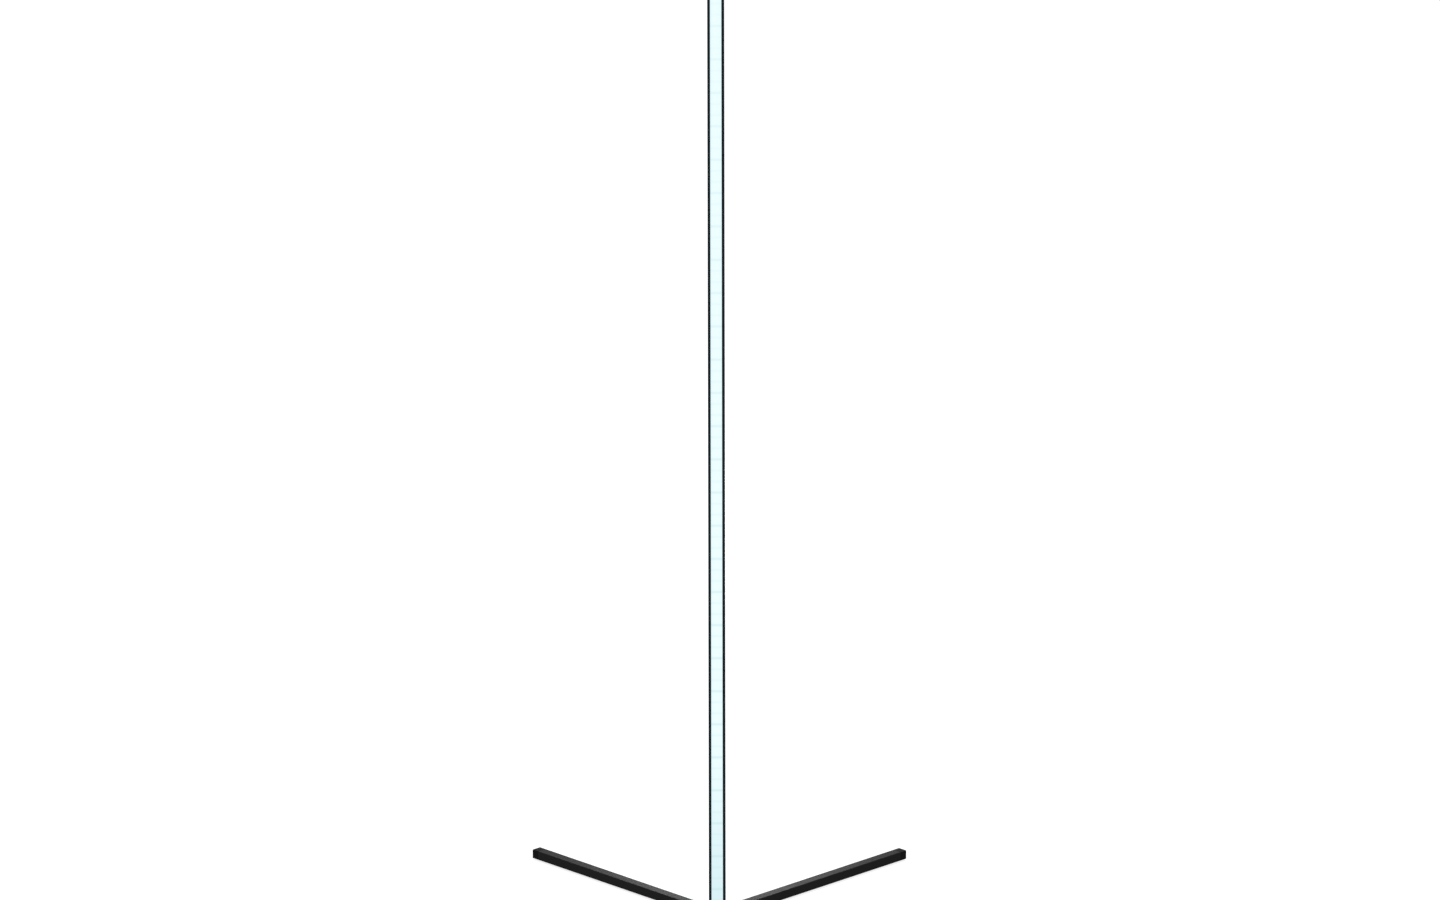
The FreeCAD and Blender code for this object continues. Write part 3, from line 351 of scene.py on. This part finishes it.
def square(side):
    """The radius of a square."""
    return lambda angle: side / 2 / max(abs(math.cos(angle)), abs(math.sin(angle)))


def cross(reach, half_width):
    """The radius of a cross with four arms."""
    def radius(angle):
        nearest = min(abs(math.cos(angle)), abs(math.sin(angle)))
        return min(reach, half_width / max(nearest, 1e-6))
    return radius


def thread(core, crest, pitch, height):
    """The radius of a screw thread at one height."""
    def radius(angle):
        turn = (height / pitch + angle / math.tau) % 1
        return core + (crest - core) * (1 - abs(2 * turn - 1))
    return radius


def turned(rings, segments=48):
    """Loops of points about Z, from heights and functions that give a radius for each angle."""
    angles = [math.tau * step / segments for step in range(segments)]
    return [[Vector((radius(angle) * math.cos(angle), radius(angle) * math.sin(angle), height))
             for angle in angles] for height, radius in rings]


def rounded(left, right, low, high, radius, steps=6):
    """Corner-rounded rectangle as pairs of numbers."""
    centres = [(right - radius, high - radius), (left + radius, high - radius),
               (left + radius, low + radius), (right - radius, low + radius)]
    pairs = []
    for quarter, (x, y) in enumerate(centres):
        for step in range(steps + 1):
            angle = (quarter + step / steps) * math.pi / 2
            pairs.append((x + radius * math.cos(angle), y + radius * math.sin(angle)))
    return pairs


def edge_round(start, size, steps=5):
    """Places and insets of a rounded rim that begins at start and goes on by its size."""
    turns = [math.pi / 2 * step / steps for step in range(steps + 1)]
    return [(start + size * math.sin(turn), abs(size) * (1 - math.cos(turn))) for turn in turns]


def piece(name, slot_name, shells, matrix=Matrix(), closed=False, replaced=(), bands=None):
    """One mesh from shells of loops, each shell capped at its ends or, when closed, joined round."""
    points = []
    faces = []
    skins = []
    for loops in shells:
        size = len(loops[0])
        first = len(points)
        points += [matrix @ point for loop in loops for point in loop]
        count = len(loops)
        for level in range(count if closed else count - 1):
            here = first + level * size
            there = first + (level + 1) % count * size
            for step in range(size):
                after = (step + 1) % size
                faces.append((here + step, here + after, there + after, there + step))
                skins.append(bands[level] if bands else 0)
        if not closed:
            faces.append(tuple(range(first + size - 1, first - 1, -1)))
            faces.append(tuple(first + (count - 1) * size + step for step in range(size)))
            skins += [bands[0] if bands else 0, bands[-1] if bands else 0]
    mesh = bpy.data.meshes.new(name)
    mesh.from_pydata(points, [], faces)
    mesh.polygons.foreach_set("material_index", skins)
    mesh.polygons.foreach_set("use_smooth", [True] * len(faces))
    mesh.set_sharp_from_angle(angle=math.radians(35))
    mesh.materials.append(SKINS[slot_name])
    made = bpy.data.objects.new(name, mesh)
    bpy.context.scene.collection.objects.link(made)
    outward(mesh)
    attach(made, "root")
    if replaced:
        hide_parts(*replaced)
    return made


def outward(mesh):
    """Turn all faces to look out."""
    work = bmesh.new()
    work.from_mesh(mesh)
    bmesh.ops.recalc_face_normals(work, faces=work.faces)
    work.to_mesh(mesh)
    work.free()


def separate(node, axis, gap):
    """Boxes of a node's separate solids, where they stand a gap apart along one axis."""
    points = sorted((vertex.co for vertex in nodes[node].data.vertices), key=lambda point: point[axis])
    groups = [[points[0]]]
    for point in points[1:]:
        if point[axis] - groups[-1][-1][axis] > gap:
            groups.append([])
        groups[-1].append(point)
    return [(Vector(map(min, *group)), Vector(map(max, *group))) for group in groups]


# ---------------------------------------------------------------- screws
FACING = {
    "back": Matrix.Rotation(-math.pi / 2, 4, "X"),
    "down": Matrix.Rotation(math.pi, 4, "X"),
}


THREAD_RINGS = 6
THREAD_DEPTH = 0.6
BETWEEN_SOLIDS = 5 * MM


def threaded(shank, length, pitch, start):
    """Rings of a threaded shank that hangs below start."""
    crest = shank / 2
    core = crest - THREAD_DEPTH * pitch
    rings = []
    height = -start
    while height > -length:
        rings.append((height, thread(core, crest, pitch, height)))
        height -= pitch / THREAD_RINGS
    return rings + [(-length, circle(core))]


def raised_screw(head, rise, shank, length, pitch, recess, depth):
    """Rings of a round-headed screw, from the bottom of its recess out and down to its tip."""
    top, fall, foot, hem = 0.62, 0.55, 0.15, 0.94
    recess_edge = 0.05 * MM
    plain = 0.6 * MM
    radius = head / 2
    turns = [math.pi / 2 * step / 6 for step in range(7)]
    rings = [(rise - depth, recess), (rise - recess_edge, recess), (rise, circle(0.6 * radius))]
    rings += [(rise - fall * rise * (1 - math.cos(turn)), circle(radius * (top + (1 - top) * math.sin(turn))))
              for turn in turns]
    rings += [(foot * rise, circle(radius)), (0, circle(hem * radius)), (0, circle(shank / 2))]
    return rings + threaded(shank, length, pitch, plain)


def sunk_screw(head, shank, length, pitch, recess, depth):
    """Rings of a flat-headed screw."""
    taper = (head - shank) / 2
    recess_edge = 0.03 * MM
    plain = 0.3 * MM
    rim = ((0.97, 0), (1, -0.06 * MM), (1, -0.15 * MM))
    rings = [(-depth, recess), (-recess_edge, recess), (0, circle(0.7 * head / 2))]
    rings += [(height, circle(share * head / 2)) for share, height in rim]
    return rings + [(-taper, circle(shank / 2))] + threaded(shank, length, pitch, taper + plain)


def screw_piece(name, node, axis, facing, rise, rings):
    """One piece with a screw in the place of each solid of a node; heads rise above their seats."""
    shells = []
    for low, high in separate(node, axis, BETWEEN_SOLIDS):
        seat = (low + high) / 2
        if facing == "back":
            seat.y = high.y - rise
        else:
            seat.z = low.z + rise
        place = Matrix.Translation(seat) @ FACING[facing]
        shells.append([[place @ point for point in loop] for loop in turned(rings)])
    piece(name, "black_screw", shells, replaced=[node])


def screws():
    """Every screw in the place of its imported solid."""
    joint = {"head": 7 * MM, "shank": 4 * MM, "length": 8 * MM, "pitch": 0.7 * MM,
             "recess": hexagon(2.5 * MM)}
    splice_rise, leg_rise, pole_rise = 2 * MM, 1.4 * MM, 2.2 * MM
    splice = raised_screw(rise=splice_rise, depth=1.3 * MM, **joint)
    screw_piece("button_screws", "splice_screws", 2, "back", splice_rise, splice)
    leg = raised_screw(rise=leg_rise, depth=1.0 * MM, **joint)
    screw_piece("leg_button_screws", "leg_screws", 0, "down", leg_rise, leg)
    low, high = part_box("pole_screws")
    long_screw = raised_screw(head=5 * MM, rise=pole_rise, shank=2.2 * MM, length=high.z - low.z - pole_rise,
                              pitch=0.8 * MM, recess=cross(1.5 * MM, 0.3 * MM), depth=1.4 * MM)
    screw_piece("long_screws", "pole_screws", 0, "down", pole_rise, long_screw)
    low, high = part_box("cover_screw")
    flat = sunk_screw(head=4 * MM, shank=2 * MM, length=high.z - low.z, pitch=0.6 * MM,
                      recess=cross(1.2 * MM, 0.25 * MM), depth=0.8 * MM)
    seat = Vector((0, (low.y + high.y) / 2, low.z))
    piece("flat_screw", "black_screw", [turned(flat)], Matrix.Translation(seat) @ FACING["down"],
          replaced=["cover_screw"])


# ---------------------------------------------------------------- mouldings
def upright(pairs, height):
    """A level loop."""
    return [Vector((x, y, height)) for x, y in pairs]


def top_cap():
    """The top cap with a rounded rim, on its hollow spigot."""
    low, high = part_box("top_cap")
    plate_low = high.z - 2 * MM
    bar_low, bar_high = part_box("upper_splice")
    wall, rim, corner = 1.5 * MM, 0.6 * MM, 0.8 * MM
    play, lead_in, lead_in_length = 0.25 * MM, 0.3 * MM, 0.5 * MM

    def plate(height, inset):
        """A loop of the visible plate."""
        return upright(rounded(low.x + inset, high.x - inset, low.y + inset, high.y - inset,
                               max(corner - inset, 0.2 * MM)), height)

    def spigot(height, inset):
        """A loop of the spigot."""
        return upright(rounded(bar_low.x + inset, bar_high.x - inset, bar_low.y + inset,
                               bar_high.y - play - inset, lead_in), height)

    loops = [spigot(plate_low, wall), spigot(low.z, wall), spigot(low.z, lead_in),
             spigot(low.z + lead_in_length, 0), spigot(plate_low, 0), plate(plate_low, 0)]
    loops += [plate(height, inset) for height, inset in edge_round(high.z - rim, rim)]
    loops.append(plate(high.z, 2 * MM))
    piece("rounded_top_cap", "black_moulding", [loops], replaced=["top_cap"])


LEG_TURNS = {"left": math.radians(135), "right": math.radians(45)}


def in_leg(side, node):
    """A node's box in the frame of a leg, whose X runs out along it."""
    turn = Matrix.Rotation(-LEG_TURNS[side], 3, "Z")
    points = [turn @ vertex.co for vertex in nodes[node].data.vertices]
    return Vector(map(min, *points)), Vector(map(max, *points))


def leg_cap(side):
    """A leg's end cap: a block with a rounded tip, and a hollow insert in the tube."""
    low, high = in_leg(side, f"{side}_leg_cap")
    block_length, insert_hollow = 12 * MM, 6 * MM
    block_low = high.x - block_length
    gap, wall = 1.7 * MM, 1.8 * MM
    lead_in, lead_in_length = 0.4 * MM, 1 * MM
    corner, seam, end_inset = 0.6 * MM, 0.15 * MM, 3 * MM
    # A rim of this size stays inside the solid's chamfered tip.
    edge = 1.0 * MM

    def across(place, inset):
        """A loop across the leg."""
        pairs = rounded(low.y + inset, high.y - inset, low.z + inset, high.z - inset,
                        max(corner - inset, 0.25 * MM))
        return [Vector((place, y, z)) for y, z in pairs]

    loops = [across(block_low + insert_hollow, gap + wall), across(low.x, gap + wall),
             across(low.x, gap + lead_in), across(low.x + lead_in_length, gap), across(block_low, gap),
             across(block_low, seam), across(block_low + seam, 0)]
    loops += [across(place, inset) for place, inset in edge_round(high.x - edge, edge)]
    loops.append(across(high.x, end_inset))
    piece(f"{side}_rounded_cap", "black_moulding", [loops], Matrix.Rotation(LEG_TURNS[side], 4, "Z"),
          replaced=[f"{side}_leg_cap"])


def rubber_plate(name, node, low, high, corner, matrix=Matrix()):
    """A rubber pad with soft edges."""
    edge = 0.5 * MM

    def level(height, inset):
        """A loop at a height above the floor."""
        return upright(rounded(low.x + inset, high.x - inset, low.y + inset, high.y - inset,
                               max(corner - inset, 0.2 * MM)), height)

    loops = [level(low.z, 3 * edge), level(low.z, edge)]
    loops += [level(low.z + edge * (1 - math.cos(turn)), edge * (1 - math.sin(turn)))
              for turn in (math.pi / 2 * step / 5 for step in range(1, 6))]
    loops += [level(high.z - 0.1 * MM, 0), level(high.z, 0.1 * MM), level(high.z, 1 * MM)]
    piece(name, "black_rubber", [loops], matrix, replaced=[node])


def feet():
    """The pad under the hub and a foot under each leg."""
    low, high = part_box("hub_pad")
    rubber_plate("soft_hub_pad", "hub_pad", low, high, 3 * MM)
    for side, turn in LEG_TURNS.items():
        low, high = in_leg(side, f"{side}_foot")
        rubber_plate(f"{side}_soft_foot", f"{side}_foot", low, high, 0.8 * MM, Matrix.Rotation(turn, 4, "Z"))


# ---------------------------------------------------------------- light strip
def led_packages():
    """Every package: a white frame, a round well and a bed of phosphor."""
    side, height, edge, well, bed = 5 * MM, 1.6 * MM, 0.1 * MM, 2.1 * MM, 1.25 * MM
    phosphor = ((1.8 * MM, 0), (1.1 * MM, 0.05 * MM), (0.4 * MM, 0.08 * MM))
    rings = [(0, square(side - edge)), (edge, square(side)), (height - edge, square(side)),
             (height, square(side - 2 * edge)), (height, circle(well))]
    rings += [(bed + rise, circle(radius)) for radius, rise in phosphor]
    bands = [0, 0, 0, 0, 0, 1, 1]
    shape = turned(rings, 24)
    face = Matrix.Rotation(math.pi / 2, 4, "X")
    shells = []
    for low, high in separate("led_chips", 2, BETWEEN_SOLIDS):
        seat = Matrix.Translation(Vector((0, high.y, (low.z + high.z) / 2))) @ face
        shells.append([[seat @ point for point in loop] for loop in shape])
    made = piece("led_packages", "led_package", shells, replaced=["led_chips"], bands=bands)
    made.data.materials.append(PHOSPHOR)


def resistors():
    """Every resistor: a dark body between tinned ends."""
    shells = []
    end = 0.5 * MM
    swell = 0.05 * MM
    for low, high in separate("strip_resistors", 2, BETWEEN_SOLIDS):
        def across(height, inset):
            """A loop across the chip."""
            return [Vector((x, y, height)) for x, y in
                    rounded(low.x + inset, high.x - inset, low.y + inset, high.y, 0.08 * MM, 3)]
        shells.append([across(low.z, swell), across(low.z + swell, 0), across(low.z + end, 0),
                       across(low.z + end, swell), across(high.z - end, swell), across(high.z - end, 0),
                       across(high.z - swell, 0), across(high.z, swell)])
    made = piece("chip_resistors", "resistor_body", shells, replaced=["strip_resistors"],
                 bands=[1, 1, 1, 0, 1, 1, 1])
    made.data.materials.append(TIN)


# ---------------------------------------------------------------- inlet and leads
def inlet():
    """The inlet's housing, nut and centre contact, turned with rounded edges."""
    low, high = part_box("jack_housing")
    centre = (low.z + high.z) / 2
    flange, barrel, bore, hole = 5 * MM, 3.9 * MM, 2.8 * MM, 1.45 * MM
    rise, floor, back = 2 * MM, -8 * MM, -10.5 * MM
    place = Matrix.Translation(Vector((0, high.y - rise, centre))) @ FACING["back"]
    rim = [(height, circle(flange - inset)) for height, inset in edge_round(rise - 0.6 * MM, 0.6 * MM)]
    mouth = [(rise - 0.5 * MM * (1 - math.cos(turn)), circle(bore + 0.5 * MM * (1 - math.sin(turn))))
             for turn in (math.pi / 2 * step / 5 for step in range(6))]
    rings = [(back, circle(hole)), (back, circle(barrel - 0.3 * MM)), (back + 0.3 * MM, circle(barrel)),
             (0, circle(barrel)), (0, circle(flange - 0.1 * MM)), (0.1 * MM, circle(flange))]
    rings += rim + mouth + [(floor, circle(bore)), (floor, circle(hole))]
    piece("inlet_housing", "jack_moulding", [turned(rings, 64)], place, closed=True,
          replaced=["jack_housing"])
    nut_place = Matrix.Translation(Vector((0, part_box("jack_nut")[1].y, centre))) @ FACING["back"]
    across, across_rim, nut_bore, nut_wall, nut_edge = 10 * MM, 9.2 * MM, 4.05 * MM, 2 * MM, 0.35 * MM
    nut = [(0, circle(nut_bore)), (0, hexagon(across_rim)), (-nut_edge, hexagon(across)),
           (nut_edge - nut_wall, hexagon(across)), (-nut_wall, hexagon(across_rim)),
           (-nut_wall, circle(nut_bore))]
    piece("inlet_nut", "jack_moulding", [turned(nut, 60)], nut_place, closed=True, replaced=["jack_nut"])
    tip, tail, tip_round = rise - 1.5 * MM, 2.6 * MM, 0.8 * MM
    root, contact, tail_edge = 1.35 * MM, 1.05 * MM, 0.1 * MM
    pin = [(back - tail, circle(root - tail_edge)), (back - tail + tail_edge, circle(root)),
           (floor, circle(root)), (floor, circle(contact))]
    pin += [(height, circle(contact - inset)) for height, inset in edge_round(tip - tip_round, tip_round)]
    piece("inlet_pin", "plated_contact", [turned(pin, 32)], place, replaced=["jack_pin"])


LEAD_ROUTE = (
    (0.0, 5.8, 0.0), (0.0, 4.7, 0.0), (1.9, 3.45, 2.0), (1.9, 3.45, 34.0),
    (7.1, -4.65, 34.0), (7.1, -4.65, 18.0), (4.55, -4.65, 15.8), (2.5, -4.25, 14.6),
)
INLET_HEIGHT = 11.0
SPRING_HEIGHT = 13.45
SOLDER_SIDE = 2.3 * MM
SOLDER_HEIGHT = 25.6 * MM


def leads():
    """Two insulated leads on a smooth line from the inlet to the strip, and their solder."""
    curve = bpy.data.curves.new("inner_leads", "CURVE")
    curve.dimensions = "3D"
    curve.bevel_depth = 0.75 * MM
    curve.bevel_resolution = 5
    curve.use_fill_caps = True
    for side, start in ((-1, INLET_HEIGHT), (1, SPRING_HEIGHT)):
        spline = curve.splines.new("NURBS")
        spline.points.add(len(LEAD_ROUTE) - 1)
        for number, (x, y, rise) in enumerate(LEAD_ROUTE):
            height = start + rise if number < 3 else INLET_HEIGHT + rise
            spline.points[number].co = (side * x * MM, y * MM, height * MM, 1)
        spline.use_endpoint_u = True
        spline.order_u = 3
        spline.resolution_u = 10
    made = bpy.data.objects.new("inner_leads", curve)
    curve.materials.append(SKINS["lead_insulation"])
    bpy.context.scene.collection.objects.link(made)
    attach(made, "root")
    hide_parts("supply_leads")
    width, rise = 1.3 * MM, 0.9 * MM
    blob = [(rise * math.sin(turn), circle(width * math.cos(turn)))
            for turn in (math.pi / 2 * step / 6 for step in range(6))]
    face = Matrix.Rotation(math.pi / 2, 4, "X")
    board_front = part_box("led_strip")[0].y
    shells = []
    for side in (-1, 1):
        seat = Matrix.Translation(Vector((side * SOLDER_SIDE, board_front, SOLDER_HEIGHT))) @ face
        shells.append([[seat @ point for point in loop] for loop in turned(blob, 20)])
    solder = piece("solder_joints", "plated_contact", shells)
    solder.data.materials[0] = TIN


# ---------------------------------------------------------------- stage, light and camera
def stage_floor():
    """A pale floor that keeps the object's shadow and reads as white to camera and reflections."""
    half = 40.0
    mesh = bpy.data.meshes.new("studio_floor")
    corners = [(-half, -half, 0), (half, -half, 0), (half, half, 0), (-half, half, 0)]
    mesh.from_pydata(corners, [], [(0, 1, 2, 3)])
    floor = bpy.data.objects.new("studio_floor", mesh)
    bpy.context.scene.collection.objects.link(floor)
    material = bpy.data.materials.new("studio_floor")
    material.use_nodes = True
    tree = material.node_tree
    tree.nodes.clear()
    matt = tree.nodes.new("ShaderNodeBsdfDiffuse")
    matt.inputs["Color"].default_value = (0.3, 0.3, 0.3, 1)
    glow = tree.nodes.new("ShaderNodeEmission")
    tree.links.new(seen_rays(tree, 0.80, 0.0), glow.inputs["Strength"])
    both = tree.nodes.new("ShaderNodeAddShader")
    out = tree.nodes.new("ShaderNodeOutputMaterial")
    tree.links.new(matt.outputs[0], both.inputs[0])
    tree.links.new(glow.outputs[0], both.inputs[1])
    tree.links.new(both.outputs[0], out.inputs["Surface"])
    mesh.materials.append(material)


def seen_rays(tree, seen, otherwise):
    """One strength for camera, glossy and transmission rays, and another for the rest."""
    path = tree.nodes.new("ShaderNodeLightPath").outputs
    total = path["Is Camera Ray"]
    for name in ("Is Glossy Ray", "Is Transmission Ray"):
        add = tree.nodes.new("ShaderNodeMath")
        add.operation = "ADD"
        add.use_clamp = True
        tree.links.new(total, add.inputs[0])
        tree.links.new(path[name], add.inputs[1])
        total = add.outputs[0]
    span = tree.nodes.new("ShaderNodeMapRange")
    span.inputs["To Min"].default_value = otherwise
    span.inputs["To Max"].default_value = seen
    tree.links.new(total, span.inputs["Value"])
    return span.outputs[0]


def studio_world():
    """Even light from all round; white where it is seen."""
    world = bpy.data.worlds.new("studio")
    world.use_nodes = True
    bpy.context.scene.world = world
    background = world.node_tree.nodes["Background"]
    background.inputs["Color"].default_value = (1, 1, 1, 1)
    world.node_tree.links.new(seen_rays(world.node_tree, 1.0, 0.55), background.inputs["Strength"])


def area_light(name, place, aim, size, power, matt=True):
    """A square soft light that the camera doesn't see; it may light glossy skins only."""
    data = bpy.data.lights.new(name, "AREA")
    data.size = size
    data.energy = power
    light = bpy.data.objects.new(name, data)
    light.location = place
    light.rotation_euler = (Vector(aim) - Vector(place)).to_track_quat("-Z", "Y").to_euler()
    light.visible_camera = False
    light.visible_diffuse = matt
    bpy.context.scene.collection.objects.link(light)


def camera():
    """The photograph's view: far off and through a long lens."""
    level = Vector((-math.sin(YAW), math.cos(YAW), 0))
    forward = math.cos(ELEVATION) * level + Vector((0, 0, -math.sin(ELEVATION)))
    right = Vector((math.cos(YAW), math.sin(YAW), 0))
    up = right.cross(forward)
    turned_right = math.cos(ROLL) * right - math.sin(ROLL) * up
    turned_up = math.sin(ROLL) * right + math.cos(ROLL) * up
    data = bpy.data.cameras.new("camera")
    data.sensor_width = SENSOR
    data.lens = PIXELS_PER_METRE * DISTANCE * SENSOR / FRAME_PIXELS
    data.clip_start = 1.0
    data.clip_end = 500.0
    made = bpy.data.objects.new("camera", data)
    axes = Matrix((turned_right, turned_up, -forward)).transposed().to_4x4()
    made.matrix_world = Matrix.Translation(TARGET - forward * DISTANCE) @ axes
    bpy.context.scene.collection.objects.link(made)
    bpy.context.scene.camera = made


dress_nodes()
screws()
top_cap()
for leg_side in LEG_TURNS:
    leg_cap(leg_side)
feet()
led_packages()
resistors()
inlet()
leads()
stage_floor()
studio_world()
area_light("softbox_above", (0, 1.0, 4.0), (0, 0.2, 0), 3.0, 150)
area_light("strip_behind", (0, 0.90, 0.27), (0, 0.10, 0.01), 0.3, 1.6, matt=False)
camera()
bpy.context.scene.view_settings.view_transform = "Standard"
